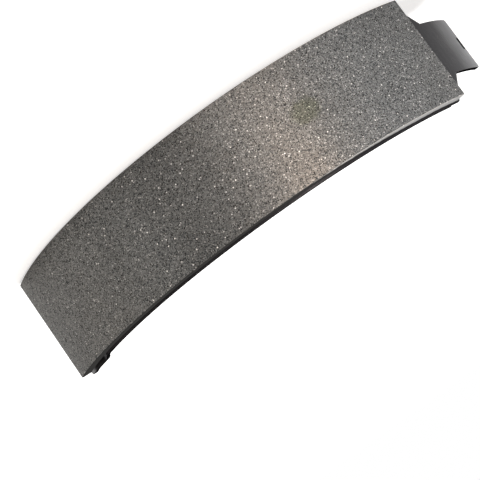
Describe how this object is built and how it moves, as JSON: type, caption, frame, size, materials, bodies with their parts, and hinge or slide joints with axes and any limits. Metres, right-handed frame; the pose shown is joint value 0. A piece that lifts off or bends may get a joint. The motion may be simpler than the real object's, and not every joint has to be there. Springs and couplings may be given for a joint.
{
  "type": "drum brake shoe",
  "caption": "Bonded drum brake shoe: a curved steel table with a notched web along its inside and a thick friction lining on its outside, narrowing to a tongue at one end.",
  "frame": {"origin": "on the drum's axis, in the plane of the side edge that the shoe lies on", "axes": "+Z along the drum's axis and up as the shoe lies on its side; the middle of the lining faces -Y; the tongue end is at -X and the plate end, with the anchor seat, at +X"},
  "size_m": [0.2769, 0.148, 0.0657],
  "materials": {
    "painted_steel": "satin",
    "friction_composite": "matte"
  },
  "bodies": {
    "root": {"table": "painted_steel", "web": "painted_steel", "weld_nuggets": "painted_steel", "lining": "friction_composite"}
  },
  "joints": []
}
